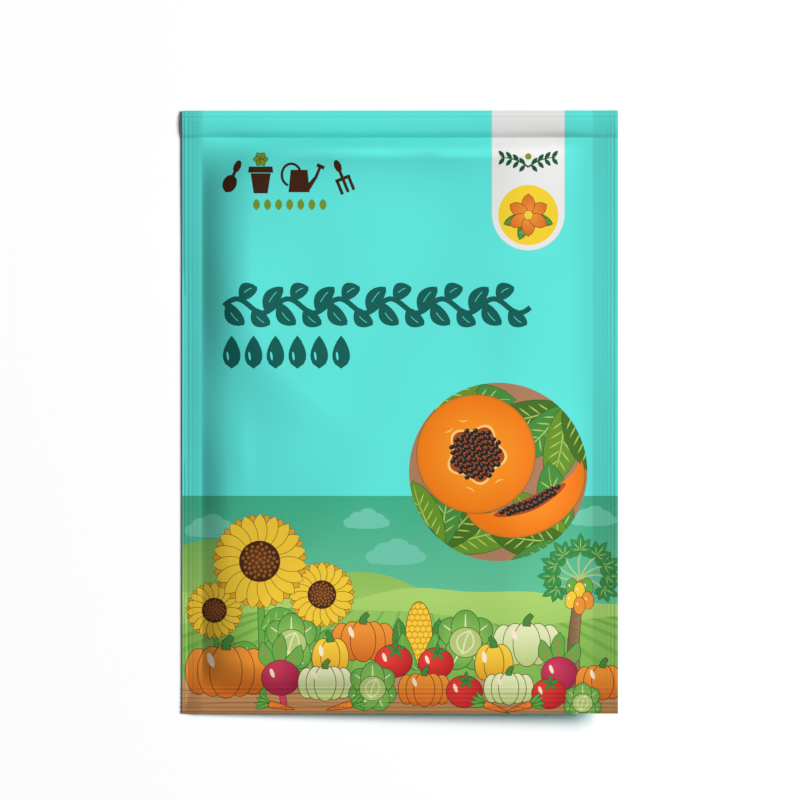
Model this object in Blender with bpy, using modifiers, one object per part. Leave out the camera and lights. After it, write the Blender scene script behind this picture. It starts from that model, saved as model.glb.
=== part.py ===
# Seed packet: a flat sachet of two laminate films, heat sealed along all four sides and
# lying on its back. The printed front faces +Z and the top seal lies towards +Y. The origin
# is under the middle of the packet, on the surface that it lies on. Lengths are in metres.

import math

import bmesh
import bpy

MM = 0.001

# Outline and seals
WIDTH = 82.55 * MM
HEIGHT = 114.3 * MM
LEFT_SEAL = 3.6 * MM
RIGHT_SEAL = 4.8 * MM
BOTTOM_SEAL = 3.7 * MM
TOP_SEAL = 5.2 * MM

# The sheet in which the two films meet: it leans, and each seal bends up or down to its edge
SEAL_Z = 3.0 * MM  # middle of the sheet
LEAN_X = 2.15 * MM  # how much higher it lies at the right edge than in the middle
LEAN_Y = 0.15 * MM  # the same at the top edge
LEFT_LIFT = -0.5 * MM
RIGHT_LIFT = 0.4 * MM
BOTTOM_LIFT = 0.25 * MM
TOP_LIFT = 0.1 * MM

# Laminate film, and the level of the front panel
FILM = 0.15 * MM
FRONT_LEVEL = 4.4 * MM
FRONT_CROWN = 0.2 * MM
CROWN_POWER = 2.5  # how square the crown is
REST_Z = FILM  # the inner skin of the back panel where the packet lies flat

# Shoulders: how far in from each seal a panel reaches its level
LEFT_REACH = 9.2 * MM
RIGHT_REACH = 15.0 * MM
BOTTOM_REACH = 5.5 * MM
TOP_REACH = 3.2 * MM
SOFTNESS = 0.6 * MM  # how gently a shoulder starts
ROUNDNESS = 1.8
BACK_SHARE = 1.12  # over 1, so that the back panel lies flat over a wider area

# The left slope is longer low down, and the top slope is longer in the left corner
LONG_REACH = 28.0 * MM
LONG_Y = -12.0 * MM
LONG_SIZE = 15.0 * MM
CORNER_REACH = 9.0 * MM
CORNER_SIZE = 10.0 * MM

# Soft folds of the front panel: a bulge under the top seal
TOP_BULGE = 3.0 * MM
TOP_BULGE_AT = 3.0 * MM  # below the top seal
TOP_BULGE_FALL = 5.0 * MM
TOP_BULGE_FADE = 18.0 * MM  # towards the left seal
TOP_BULGE_MIDDLE = 0.85  # share of its height in the middle
TOP_BULGE_LOSS = 0.5  # and how much of it is lost from there to the right edge

# A low ridge at the right, which fades out below
RIGHT_RIDGE = 0.55 * MM
RIGHT_RIDGE_AT = 7.0 * MM  # in from the right seal
RIGHT_RIDGE_FALL = 16.0 * MM
RIDGE_LEAST = 0.1  # share of its height that is left at the bottom
RIDGE_FADE_Y = -2.0 * MM
RIDGE_FADE = 12.0 * MM

# A belly where the seeds have sunk
BELLY = 1.5 * MM
BELLY_RUN = 20.0 * MM  # it rises over this from the left seal
BELLY_Y = -16.0 * MM
BELLY_SIZE = 18.0 * MM
FOLD_FADE = 4.0 * MM  # the folds fade out over this towards the seals

# Ribs pressed into the seals, parallel to each edge
LEFT_RIBS = 4
RIGHT_RIBS = 5
BOTTOM_RIBS = 3
TOP_RIBS = 2
FIRST_RIB = 0.5 * MM  # from the packet's edge to the middle of the first rib
RIB_PITCH = 0.72 * MM
RIB_WIDTH = 0.35 * MM
RIB_RELIEF = 0.1 * MM
RIB_MARGIN = 0.3 * MM  # from a rib's ends to the packet's edge

# Seeds inside
SEED_CLEARANCE = 0.45 * MM
SEED_INSET = 4.5 * MM  # from the seals to the rim of the filling
SEED_SQUARENESS = 4.5  # superellipse exponent of the filling's outline

# Fineness of the meshes
COLUMNS = 26
ROWS = 36
BUNCHING = 0.6  # how much closer together the grid lines are near the seals
FILL_SEGMENTS = 48
FILL_RINGS = 14

HALF_WIDTH = WIDTH / 2
HALF_HEIGHT = HEIGHT / 2
INNER_LEFT = -HALF_WIDTH + LEFT_SEAL
INNER_RIGHT = HALF_WIDTH - RIGHT_SEAL
INNER_BOTTOM = -HALF_HEIGHT + BOTTOM_SEAL
INNER_TOP = HALF_HEIGHT - TOP_SEAL
MIDDLE_X = (INNER_LEFT + INNER_RIGHT) / 2
MIDDLE_Y = (INNER_BOTTOM + INNER_TOP) / 2


# Empties the scene, so that the packet is all there is.
def clear_scene():
    for obj in list(bpy.data.objects):
        bpy.data.objects.remove(obj, do_unlink=True)


def new_collection(name):
    collection = bpy.data.collections.new(name)
    bpy.context.scene.collection.children.link(collection)
    return collection


def new_material(name, colour, roughness, metallic):
    material = bpy.data.materials.new(name)
    material.use_nodes = True
    material.diffuse_color = (*colour, 1)
    shader = material.node_tree.nodes["Principled BSDF"]
    shader.inputs["Base Color"].default_value = (*colour, 1)
    shader.inputs["Roughness"].default_value = roughness
    shader.inputs["Metallic"].default_value = metallic
    return material


def add_object(name, mesh_builder, collection, material=None):
    mesh = bpy.data.meshes.new(name)
    mesh_builder.to_mesh(mesh)
    mesh_builder.free()
    if material:
        mesh.materials.append(material)
    obj = bpy.data.objects.new(name, mesh)
    collection.objects.link(obj)
    return obj


def bump(distance, width):
    return math.exp(-((distance / width) ** 2))


# A rise from 0 on a seal's inner edge to 1 at the reach: 1 - (1 - s / reach)^roundness, where
# s = d^2 / (d + softness) starts level.
def shoulder(distance, reach):
    distance = max(distance, 0)
    started = distance * distance / (distance + SOFTNESS)
    return 1 - (1 - min(started / reach, 1)) ** ROUNDNESS


# How far a point is from each of the four seals, from 0 on it to 1. The left slope is made
# longer low down, and the top slope in the left corner.
def shoulders(x, y, left_longer, corner_longer):
    low = bump(y - LONG_Y, LONG_SIZE)
    corner = bump(max(x - INNER_LEFT, 0), CORNER_SIZE)
    return (
        shoulder(x - INNER_LEFT, LEFT_REACH + left_longer * low),
        shoulder(INNER_RIGHT - x, RIGHT_REACH),
        shoulder(y - INNER_BOTTOM, BOTTOM_REACH),
        shoulder(INNER_TOP - y, TOP_REACH + corner_longer * corner),
    )


# A low crown that is highest in the middle and 0 on the seals.
def crown(x, y):
    u = min(abs(x / INNER_RIGHT), 1)
    v = min(abs((y - MIDDLE_Y) / (INNER_TOP - MIDDLE_Y)), 1)
    return FRONT_CROWN * (1 - u**CROWN_POWER) * (1 - v**CROWN_POWER)


# A share from 0 on a seal's inner edge to 1 away from it.
def faded(distance, width):
    return math.tanh(max(distance, 0) / width)


# The bulge climbs by a sine from the seal to its crest and falls off again as exp(-d / fall).
def top_bulge(x, y):
    from_top = max(INNER_TOP - y, 0)
    climb = math.sin(math.pi / 2 * min(from_top / TOP_BULGE_AT, 1))
    fall = math.exp(-max(from_top - TOP_BULGE_AT, 0) / TOP_BULGE_FALL)
    left = 1 - bump(max(x - INNER_LEFT, 0), TOP_BULGE_FADE)
    share = max(0, min(TOP_BULGE_MIDDLE - TOP_BULGE_LOSS * x / HALF_WIDTH, 1))
    return TOP_BULGE * climb * fall * left * share * faded(INNER_RIGHT - x, FOLD_FADE)


# The ridge and the belly together.
def front_swell(x, y):
    past = INNER_RIGHT - x - RIGHT_RIDGE_AT
    ridge = RIGHT_RIDGE * bump(past, RIGHT_RIDGE_FALL if past > 0 else RIGHT_RIDGE_AT)
    above = (1 + math.tanh((y - RIDGE_FADE_Y) / RIDGE_FADE)) / 2
    ridge *= RIDGE_LEAST + (1 - RIDGE_LEAST) * above
    belly = BELLY * (1 - math.exp(-max(x - INNER_LEFT, 0) / BELLY_RUN))
    belly *= bump(y - BELLY_Y, BELLY_SIZE) * faded(x - INNER_LEFT, FOLD_FADE)
    ends = faded(INNER_TOP - y, FOLD_FADE) * faded(y - INNER_BOTTOM, FOLD_FADE)
    return (ridge + belly) * ends * faded(INNER_RIGHT - x, FOLD_FADE)


# The plane in which the films would meet if the seals were flat.
def leaning_plane(x, y):
    return SEAL_Z + LEAN_X * x / HALF_WIDTH + LEAN_Y * y / HALF_HEIGHT


# The sheet in which the films meet: the plane, with each seal bent to its edge.
def meeting_sheet(x, y):
    z = leaning_plane(x, y)
    z += LEFT_LIFT * max(0, (INNER_LEFT - x) / LEFT_SEAL)
    z += RIGHT_LIFT * max(0, (x - INNER_RIGHT) / RIGHT_SEAL)
    z += BOTTOM_LIFT * max(0, (INNER_BOTTOM - y) / BOTTOM_SEAL)
    z += TOP_LIFT * max(0, (y - INNER_TOP) / TOP_SEAL)
    return z


# Inner skin of the front panel, which rises from the sheet to its level by the product of
# the four shoulders.
def front_height(x, y):
    level = FRONT_LEVEL + crown(x, y) + top_bulge(x, y) + front_swell(x, y)
    rise = math.prod(shoulders(x, y, LONG_REACH, CORNER_REACH))
    return meeting_sheet(x, y) + rise * (level - leaning_plane(x, y))


# Inner skin of the back panel. It falls by the least of the four shoulders, so the part that
# is pressed flat where the packet lies on it is a rectangle.
def back_height(x, y):
    fall = BACK_SHARE * min(shoulders(x, y, 0, 0))
    return max(meeting_sheet(x, y) - fall * leaning_plane(x, y), REST_Z)


# Grid lines across a panel: the outer edge, the seal's inner edge, then cells that are
# closer together near the seals, and the same at the far side.
def stations(low, inner_low, inner_high, high, cells):
    lines = [low]
    for k in range(cells + 1):
        even = k / cells
        bunched = (1 - math.cos(math.pi * even)) / 2
        share = even + BUNCHING * (bunched - even)
        lines.append(inner_low + (inner_high - inner_low) * share)
    lines.append(high)
    return lines


# One film panel: a grid bent into the panel's inner skin, thickened outwards.
def make_film(name, height, faces_up, collection, material):
    columns = stations(-HALF_WIDTH, INNER_LEFT, INNER_RIGHT, HALF_WIDTH, COLUMNS)
    rows = stations(-HALF_HEIGHT, INNER_BOTTOM, INNER_TOP, HALF_HEIGHT, ROWS)
    last_column = len(columns) - 1
    last_row = len(rows) - 1
    builder = bmesh.new()
    bmesh.ops.create_grid(builder, x_segments=last_column, y_segments=last_row, size=1)
    for vertex in builder.verts:
        column = round((vertex.co.x + 1) / 2 * last_column)
        row = round((vertex.co.y + 1) / 2 * last_row)
        x, y = columns[column], rows[row]
        vertex.co = (x, y, height(x, y))
    if not faces_up:
        bmesh.ops.reverse_faces(builder, faces=builder.faces)
    film = add_object(name, builder, collection, material)
    film.data.shade_smooth()
    wall = film.modifiers.new("film", "SOLIDIFY")
    wall.thickness = FILM
    wall.offset = 1
    wall.use_even_offset = True
    return film


# One rib: a thin strip along a seal, thickened both ways. It bends with the sheet at each of
# the given spots.
def make_rib(name, spots, across, lift, collection):
    builder = bmesh.new()
    bmesh.ops.create_grid(builder, x_segments=len(spots) - 1, y_segments=1, size=1)
    for vertex in builder.verts:
        number = round((vertex.co.x + 1) / 2 * (len(spots) - 1))
        x = spots[number][0] + vertex.co.y * across[0]
        y = spots[number][1] + vertex.co.y * across[1]
        vertex.co = (x, y, meeting_sheet(x, y) + lift)
    strip = add_object(name, builder, collection)
    wall = strip.modifiers.new("rib", "SOLIDIFY")
    wall.thickness = 2 * RIB_RELIEF
    wall.offset = 0
    strip.hide_render = True
    strip.display_type = "WIRE"


# Ribs of all four seals on one film, whose outer skin is the lift away from the sheet.
def make_ribs(name, lift, collection):
    reach_x = HALF_WIDTH - RIB_MARGIN
    reach_y = HALF_HEIGHT - RIB_MARGIN
    bends_x = (-reach_x, INNER_LEFT, INNER_RIGHT, reach_x)
    bends_y = (-reach_y, INNER_BOTTOM, INNER_TOP, reach_y)
    for side, way, count in (("left", -1, LEFT_RIBS), ("right", 1, RIGHT_RIBS)):
        for number in range(count):
            x = way * (HALF_WIDTH - FIRST_RIB - RIB_PITCH * number)
            spots = [(x, y) for y in bends_y]
            make_rib(f"{name}_{side}_{number}", spots, (RIB_WIDTH / 2, 0), lift, collection)
    for side, way, count in (("bottom", -1, BOTTOM_RIBS), ("top", 1, TOP_RIBS)):
        for number in range(count):
            y = way * (HALF_HEIGHT - FIRST_RIB - RIB_PITCH * number)
            spots = [(x, y) for x in bends_x]
            make_rib(f"{name}_{side}_{number}", spots, (0, RIB_WIDTH / 2), lift, collection)


def join_ribs(film, collection):
    union = film.modifiers.new("seal_ribs", "BOOLEAN")
    union.operation = "UNION"
    union.operand_type = "COLLECTION"
    union.collection = collection
    union.solver = "EXACT"


# The seeds and the air between them, as one cushion that follows both films from inside.
# A sphere gives the faces: its plan becomes a rounded rectangle, its upper half the top skin
# and its lower half the bottom skin, with the equator midway between them.
def make_filling(name, collection, material):
    reach_x = INNER_RIGHT - MIDDLE_X - SEED_INSET
    reach_y = INNER_TOP - MIDDLE_Y - SEED_INSET
    builder = bmesh.new()
    bmesh.ops.create_uvsphere(
        builder, u_segments=FILL_SEGMENTS, v_segments=FILL_RINGS, radius=1
    )
    for vertex in builder.verts:
        latitude = math.asin(max(-1.0, min(1.0, vertex.co.z)))
        spread = 1 - abs(latitude) / (math.pi / 2)
        angle = math.atan2(vertex.co.y, vertex.co.x)
        c, s = math.cos(angle), math.sin(angle)
        reach = (abs(c) ** SEED_SQUARENESS + abs(s) ** SEED_SQUARENESS) ** (-1 / SEED_SQUARENESS)
        x = MIDDLE_X + reach_x * spread * reach * c
        y = MIDDLE_Y + reach_y * spread * reach * s
        top = front_height(x, y) - SEED_CLEARANCE
        bottom = back_height(x, y) + SEED_CLEARANCE
        if abs(latitude) < 0.01:
            z = (top + bottom) / 2
        else:
            z = top if latitude > 0 else bottom
        vertex.co = (x, y, z)
    filling = add_object(name, builder, collection, material)
    filling.data.shade_smooth()
    return filling


def main():
    clear_scene()
    packet = new_collection("seed_packet")
    front_ribs = new_collection("front_seal_ribs")
    back_ribs = new_collection("back_seal_ribs")

    printed = new_material("printed_film", (0.12, 0.75, 0.68), 0.38, 0.0)
    plain = new_material("back_film", (0.11, 0.68, 0.61), 0.4, 0.0)
    seed = new_material("seeds", (0.05, 0.04, 0.035), 0.6, 0.0)

    make_ribs("front_rib", FILM, front_ribs)
    make_ribs("back_rib", -FILM, back_ribs)
    front = make_film("front_film", front_height, True, packet, printed)
    join_ribs(front, front_ribs)
    back = make_film("back_film", back_height, False, packet, plain)
    join_ribs(back, back_ribs)
    make_filling("seed_fill", packet, seed)


main()
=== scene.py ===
import math

import bmesh
import bpy
import numpy as np
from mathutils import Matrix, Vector
from mathutils.geometry import delaunay_2d_cdt


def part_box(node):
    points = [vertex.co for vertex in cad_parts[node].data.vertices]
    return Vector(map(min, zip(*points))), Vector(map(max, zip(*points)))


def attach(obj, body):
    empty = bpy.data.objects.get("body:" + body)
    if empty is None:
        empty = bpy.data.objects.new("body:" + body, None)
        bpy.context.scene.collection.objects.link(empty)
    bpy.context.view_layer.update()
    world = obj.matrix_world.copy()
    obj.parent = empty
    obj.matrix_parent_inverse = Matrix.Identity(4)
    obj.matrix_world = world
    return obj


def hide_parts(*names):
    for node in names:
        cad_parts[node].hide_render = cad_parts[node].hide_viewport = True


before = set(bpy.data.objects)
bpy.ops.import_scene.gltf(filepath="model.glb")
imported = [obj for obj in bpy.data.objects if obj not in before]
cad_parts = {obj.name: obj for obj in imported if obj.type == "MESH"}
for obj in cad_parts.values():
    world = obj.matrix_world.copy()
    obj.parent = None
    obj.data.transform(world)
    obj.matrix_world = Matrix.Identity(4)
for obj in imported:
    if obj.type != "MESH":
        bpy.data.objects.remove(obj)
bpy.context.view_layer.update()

# A seed packet lying on its back: printed front film, plain back film, seeds between them.
# Shapes are worked out in millimetres and go into the meshes in metres.
mm = 0.001
nearEnough = 0.001  # points closer than this are one
tiny = 1e-9  # keeps a division from failing, and triangles of less area are dropped
lowCorner, highCorner = (np.array(corner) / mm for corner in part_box("front_film"))

sachet = {
    "halfWidth": float(highCorner[0] - lowCorner[0]) / 2,
    "halfHeight": float(highCorner[1] - lowCorner[1]) / 2,
    "sealHeight": 2.85,  # middle of the sheet in which the films meet
    "lean": (2.15, 0.15),  # how much higher that sheet lies at the right edge and at the top
    "seals": {"left": 3.6, "right": 4.8, "bottom": 3.7, "top": 5.2},
    "film": 0.15,
    "lowest": 0.22,  # no part of the sheet lies lower than this
}
seals = sachet["seals"]
innerLeft = -sachet["halfWidth"] + seals["left"]
innerRight = sachet["halfWidth"] - seals["right"]
innerBottom = -sachet["halfHeight"] + seals["bottom"]
innerTop = sachet["halfHeight"] - seals["top"]

panels = {
    "frontLevel": 4.4,  # height of the front over the floor, without its crown and folds
    "frontCrown": 0.2,
    "crownCurve": 2.5,
    "backPress": 1.12,  # above 1 the back lies flat on the floor
    "reach": {"left": 9.2, "right": 15.0, "bottom": 5.5, "top": 3.2},  # width of each slope
    "softness": {"left": 0.6, "right": 2.5, "bottom": 0.7, "top": 0.05},  # how gently it starts
    "roundness": 1.8,
    # The reach waves a little along each side: size, length and phase of its waves.
    "waves": {
        "left": ((0.6, 6.5, 0.8),),
        "right": (),
        "bottom": ((0.4, 7.5, 0.0), (0.3, 3.1, 1.0)),
        "top": ((0.5, 8.5, 2.6), (0.3, 3.9, 0.7)),
    },
    "quickStart": {"reach": 5.0, "share": 0.1, "lowShare": 0.35},  # of the left slope
    "longSlope": {"reach": 28.0, "at": -12.0, "size": 15.0},  # the left one is longer low down
    "corner": {"reach": 9.0, "size": 10.0},  # the top slope is longer in the left corner
}
# Ribs pressed into each seal: the first one's distance from the edge, the next ones' pitch, and
# how much of its height each keeps from the one before.
ribHalfWidth = 0.3
ribs = {
    "left": {"count": 4, "first": 0.6, "pitch": 0.8, "relief": 0.05, "fading": 0.6},
    "right": {"count": 5, "first": 0.5, "pitch": 0.7, "relief": 0.042, "fading": 0.55},
    "bottom": {"count": 6, "first": 0.45, "pitch": 0.87, "relief": 0.22, "fading": 0.8},
    "top": {"count": 2, "first": 0.98, "pitch": 0.95, "relief": 0.09, "fading": 0.5},
}


# Distances inside the four seals' inner lines, negative on the seals.
def insideSeals(x, y):
    return {
        "left": x - innerLeft,
        "right": innerRight - x,
        "bottom": y - innerBottom,
        "top": innerTop - y,
    }


# A bump with the profile exp(-(d / width)^2).
def bump(distance, width):
    return np.exp(-((distance / width) ** 2))


# The sum of size sin(t / length + phase) over the waves.
def waving(t, waves):
    return sum(size * np.sin(t / length + phase) for size, length, phase in waves)


# 0 on a seal and towards 1 away from it: tanh(distance / run).
def awayFrom(distance, run):
    return np.tanh(np.maximum(distance, 0) / run)


# A shoulder rises from 0 at the seal to 1 at its reach: 1 - (1 - s / reach)^roundness, where
# s = d^2 / (d + softness) starts level.
def shoulder(distance, reach, softness):
    d = np.maximum(distance, 0)
    started = d * d / (d + softness)
    return 1 - (1 - np.clip(started / reach, 0, 1)) ** panels["roundness"]


# How far a point is from the seals: the product of its four shoulders. The front's are longer
# in two places.
def opening(x, y, isFront):
    inside = insideSeals(x, y)
    quick, long, corner = panels["quickStart"], panels["longSlope"], panels["corner"]
    low = bump(y - long["at"], long["size"])
    product = np.ones_like(x)
    for side, reach in panels["reach"].items():
        change = waving(y if side in ("left", "right") else x, panels["waves"][side])
        if isFront and side == "left":
            change = change + long["reach"] * low
        if isFront and side == "top":
            change = change + corner["reach"] * bump(np.maximum(inside["left"], 0), corner["size"])
        softness = panels["softness"][side]
        rise = shoulder(inside[side], reach + change, softness)
        if side == "left":
            steep = shoulder(inside[side], quick["reach"], softness)
            rise = rise + (quick["share"] + quick["lowShare"] * low) * (steep - rise)
        product = product * rise
    return product


# A low crown that falls off from the middle as (1 - |u|^curve)(1 - |v|^curve).
def crown(x, y):
    middle = (innerTop + innerBottom) / 2
    u = np.clip(np.abs(x / innerRight), 0, 1)
    v = np.clip(np.abs((y - middle) / (innerTop - middle)), 0, 1)
    curve = panels["crownCurve"]
    return panels["frontCrown"] * (1 - u**curve) * (1 - v**curve)


# Soft folds of the front: a bulge under the top seal, a low ridge down the right-hand side,
# a belly where the seeds have sunk, a short pleat low on the left, and a faint ripple.
folds = {
    "runs": {"left": 4, "right": 3, "bottom": 4, "top": 5},  # they rise over these from the seals
    "bulge": {
        "height": 3.0,
        "at": 3.0,
        "waves": ((0.45, 8.5, 2.6), (0.25, 3.9, 0.7)),
        "fall": 5.0,
        "curve": 1.05,
        "sideRuns": (18.0, 5),  # it rises over these from the left and the right seal
        "share": (0.85, -0.5),  # in the middle, and its change to the right edge
    },
    "ridge": {
        "height": 0.55,
        "at": 7.0,
        "waves": ((0.8, 17, 1.0),),
        "fall": 16.0,
        "share": (0.55, 0.45),  # at its own middle, and its change upwards and downwards
        "middle": (-2, 12),  # where that is, and over what run it changes
    },
    "belly": {"height": 1.5, "run": 20.0, "at": -16.0, "size": 18.0},
    "pleat": {"height": 0.28, "at": (-30.2, -7.0), "size": (2.0, 7.5), "slant": 0.06},
    # The ripple's waves: their runs in x and y, and their phase.
    "ripple": {"height": 0.04, "waves": ((5.1, 9.3, 0), (3.3, -6.1, 1.9), (13, 4.4, 0.4))},
}


# The bulge climbs from the seal to its crest as a quarter sine and falls off exponentially,
# the ridge, belly and pleat are bumps, and the ripple is a sum of sines.
def frontFolds(x, y):
    inside = insideSeals(x, y)
    fade = {side: awayFrom(inside[side], run) for side, run in folds["runs"].items()}
    sides, ends = fade["left"] * fade["right"], fade["top"] * fade["bottom"]
    fromLeft = np.maximum(inside["left"], 0)
    bulge, ridge, belly, pleat, ripple = (
        folds[fold] for fold in ("bulge", "ridge", "belly", "pleat", "ripple")
    )
    crest = bulge["at"] - waving(x, bulge["waves"])
    climb = np.sin(math.pi / 2 * np.clip(inside["top"] / crest, 0, 1))
    beyond = np.maximum(inside["top"] - crest, 0) / bulge["fall"]
    leftRun, rightRun = bulge["sideRuns"]
    wide = (1 - bump(fromLeft, leftRun)) * awayFrom(inside["right"], rightRun)
    share, change = bulge["share"]
    lessRight = np.clip(share + change * x / sachet["halfWidth"], 0, 1)
    z = bulge["height"] * lessRight * climb * np.exp(-(beyond ** bulge["curve"])) * wide
    share, change = ridge["share"]
    middle, run = ridge["middle"]
    upper = share + change * np.tanh((y - middle) / run)
    past = inside["right"] + waving(y, ridge["waves"]) - ridge["at"]
    width = np.where(past > 0, ridge["fall"], ridge["at"])
    z = z + ridge["height"] * bump(past, width) * ends * upper * sides
    rise = 1 - np.exp(-fromLeft / belly["run"])
    z = z + belly["height"] * rise * bump(y - belly["at"], belly["size"]) * sides * ends
    (px, py), (pw, ph) = pleat["at"], pleat["size"]
    across = x - px + pleat["slant"] * (y - py)
    z = z + pleat["height"] * bump(across, pw) * bump(y - py, ph) * sides
    waves = sum(np.sin(x / runX + y / runY + phase) for runX, runY, phase in ripple["waves"])
    return z + ripple["height"] * waves * sides * ends


# Each rib is a raised half cosine along its edge.
def ribRelief(inside):
    z = 0
    for side, form in ribs.items():
        fromEdge = inside[side] + seals[side]
        for k in range(form["count"]):
            away = np.abs(fromEdge - form["first"] - form["pitch"] * k) / ribHalfWidth
            height = form["relief"] * form["fading"] ** k
            z = np.maximum(z, height * (0.5 + 0.5 * np.cos(math.pi * np.minimum(away, 1))))
    return z


# How each seal lies: depth of the groove just outside its inner line, lift of its edge, and
# how far it arches up between the two.
sealForms = {
    "left": {"groove": 0.0, "lift": -0.6, "arch": 0.0},
    "right": {"groove": 0.0, "lift": 0.4, "arch": 0.0},
    "bottom": {"groove": 0.05, "lift": 0.25, "arch": 0.0},
    "top": {"groove": 0.5, "lift": 0.1, "arch": 0.35},
}
liftCurve = 1.2  # power of the lift towards the edge
groove = {
    "start": 1.45,  # distances out from the inner line
    "deepest": 0.1,
    "end": -0.15,
    "curve": 1.3,
    "cornerRun": (-1, 7),  # from nothing to its full depth, counted from the next seal
}
sway = {"height": 0.1, "runX": 15, "runY": 11, "start": 4}  # of the seals, up and down


# The plane in which the films would meet if the seals were flat.
def leaningPlane(x, y):
    leanX, leanY = sachet["lean"]
    return sachet["sealHeight"] + leanX * x / sachet["halfWidth"] + leanY * y / sachet["halfHeight"]


# The sheet in which the films meet: the leaning plane, and on the seals ribbed, bent up or
# down to the edge, and sunk into a groove beside the panel.
def meetingSheet(x, y):
    inside = insideSeals(x, y)
    onSeal = np.clip(-np.minimum.reduce(list(inside.values())) / sway["start"], 0, 1)
    z = leaningPlane(x, y) + sway["height"] * np.sin(y / sway["runY"] + x / sway["runX"]) * onSeal
    cornerStart, cornerEnd = groove["cornerRun"]
    for side, form in sealForms.items():
        out = -inside[side]
        others = np.minimum.reduce([inside[other] for other in inside if other != side])
        along = np.clip((others - cornerStart) / (cornerEnd - cornerStart), 0, 1)
        sinking = (groove["start"] - out) / (groove["start"] - groove["deepest"])
        rising = (out - groove["end"]) / (groove["deepest"] - groove["end"])
        depth = np.clip(np.minimum(sinking, rising), 0, 1)
        share = np.clip(out / seals[side], 0, 1)
        z = z + form["lift"] * share**liftCurve + form["arch"] * 4 * share * (1 - share)
        z = z - form["groove"] * depth ** groove["curve"] * along
    return np.maximum(z, sachet["lowest"]) + ribRelief(inside)


# Outer skin of the front film: it rises from the sheet to its panel's level.
def frontSkin(x, y):
    level = panels["frontLevel"] + crown(x, y) + frontFolds(x, y)
    rise = opening(x, y, isFront=True) * (level - leaningPlane(x, y))
    return meetingSheet(x, y) + sachet["film"] + rise


# Outer skin of the back film, flat where the packet lies on it.
def backSkin(x, y):
    fall = panels["backPress"] * opening(x, y, isFront=False) * leaningPlane(x, y)
    return np.maximum(meetingSheet(x, y) - sachet["film"] - fall, 0)


# Lines of the lattice from a packet edge inwards: close ones over the ribs and the seal's
# inner line.
def sealStations(side):
    lines = [0.0]
    form = ribs[side]
    for k in range(form["count"]):
        middle = form["first"] + form["pitch"] * k
        lines += [middle + ribHalfWidth * share for share in (-1, -0.5, 0.5, 1)]
    outs = (1.45, 1.1, 0.7, 0.4, 0.15, 0.05, -0.15, -0.4, -0.8, -1.3, -1.9)
    lines += [seals[side] - out for out in outs]
    return np.unique(np.round(lines, 3))


# Lines across one way of the film: close ones on both seals, and evenly spaced ones between.
# The second result numbers the close ones.
def latticeLines(half, lowSide, highSide, pitch):
    low = -half + sealStations(lowSide)
    high = half - sealStations(highSide)[::-1]
    cells = int(math.ceil((high[0] - low[-1]) / pitch))
    lines = np.concatenate([low, np.linspace(low[-1], high[0], cells + 1)[1:-1], high])
    number = np.arange(len(lines))
    return lines, number[(number < len(low)) | (number >= len(lines) - len(high))]


# Inks in 8-bit sRGB.
inks = {
    "turquoise": (96, 232, 222), "foil": (196, 200, 202), "white": (234, 235, 233),
    "tabEdge": (196, 220, 216), "yolk": (246, 210, 50), "title": (16, 96, 88),
    "tool": (66, 34, 16), "olive": (118, 148, 45), "sprig": (20, 84, 48),
    "band": (64, 178, 140), "bandLow": (104, 200, 158), "cloud": (112, 204, 176),
    "mound": (126, 186, 96), "moundLight": (146, 196, 92), "farHill": (176, 217, 112),
    "nearHill": (150, 202, 96), "cropRow": (126, 182, 78), "soil": (208, 158, 103),
    "furrow": (176, 122, 76), "line": (92, 52, 30), "greenLine": (44, 96, 46),
    "glint": (255, 236, 206), "petal": (248, 206, 58), "petalDeep": (232, 168, 34),
    "disc": (116, 66, 32), "discDeep": (70, 38, 20), "discDot": (160, 98, 42),
    "leaf": (104, 176, 70), "leafDeep": (70, 142, 62), "vein": (168, 214, 120),
    "pumpkin": (246, 152, 54), "pumpkinDeep": (214, 104, 30), "tomato": (238, 66, 54),
    "tomatoDeep": (190, 32, 40), "pepper": (250, 210, 62), "pepperDeep": (226, 160, 34),
    "beet": (216, 62, 98), "beetDeep": (160, 34, 70), "pale": (232, 238, 186),
    "paleDeep": (186, 206, 122), "cabbage": (158, 206, 96), "cabbageDeep": (98, 166, 72),
    "carrot": (246, 134, 44), "trunk": (170, 138, 100), "trunkDeep": (128, 96, 66),
    "palm": (62, 146, 74), "palmLine": (34, 98, 54), "ground": (172, 126, 92),
    "broad": (104, 148, 42), "broadDeep": (70, 114, 32), "broadVein": (172, 202, 96),
    "skin": (216, 128, 30), "flesh": (255, 164, 40), "fleshDeep": (243, 122, 14),
    "pith": (255, 206, 120), "cavity": (172, 76, 28), "seed": (40, 33, 31),
    "seedGlint": (126, 116, 108),
}
whiteness = 0.88  # what the film's white reflects


# An ink as linear light, by the sRGB curve.
def inkOf(name):
    s = np.array(inks[name]) / 255
    return whiteness * np.where(s <= 0.04045, s / 12.92, ((s + 0.055) / 1.055) ** 2.4)


# An outline's points, anticlockwise: its shoelace sum isn't negative.
def anticlockwise(outline):
    a = np.asarray(outline, float)
    b = np.roll(a, -1, 0)
    return a[::-1] if (a[:, 0] * b[:, 1] - a[:, 1] * b[:, 0]).sum() < 0 else a


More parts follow.
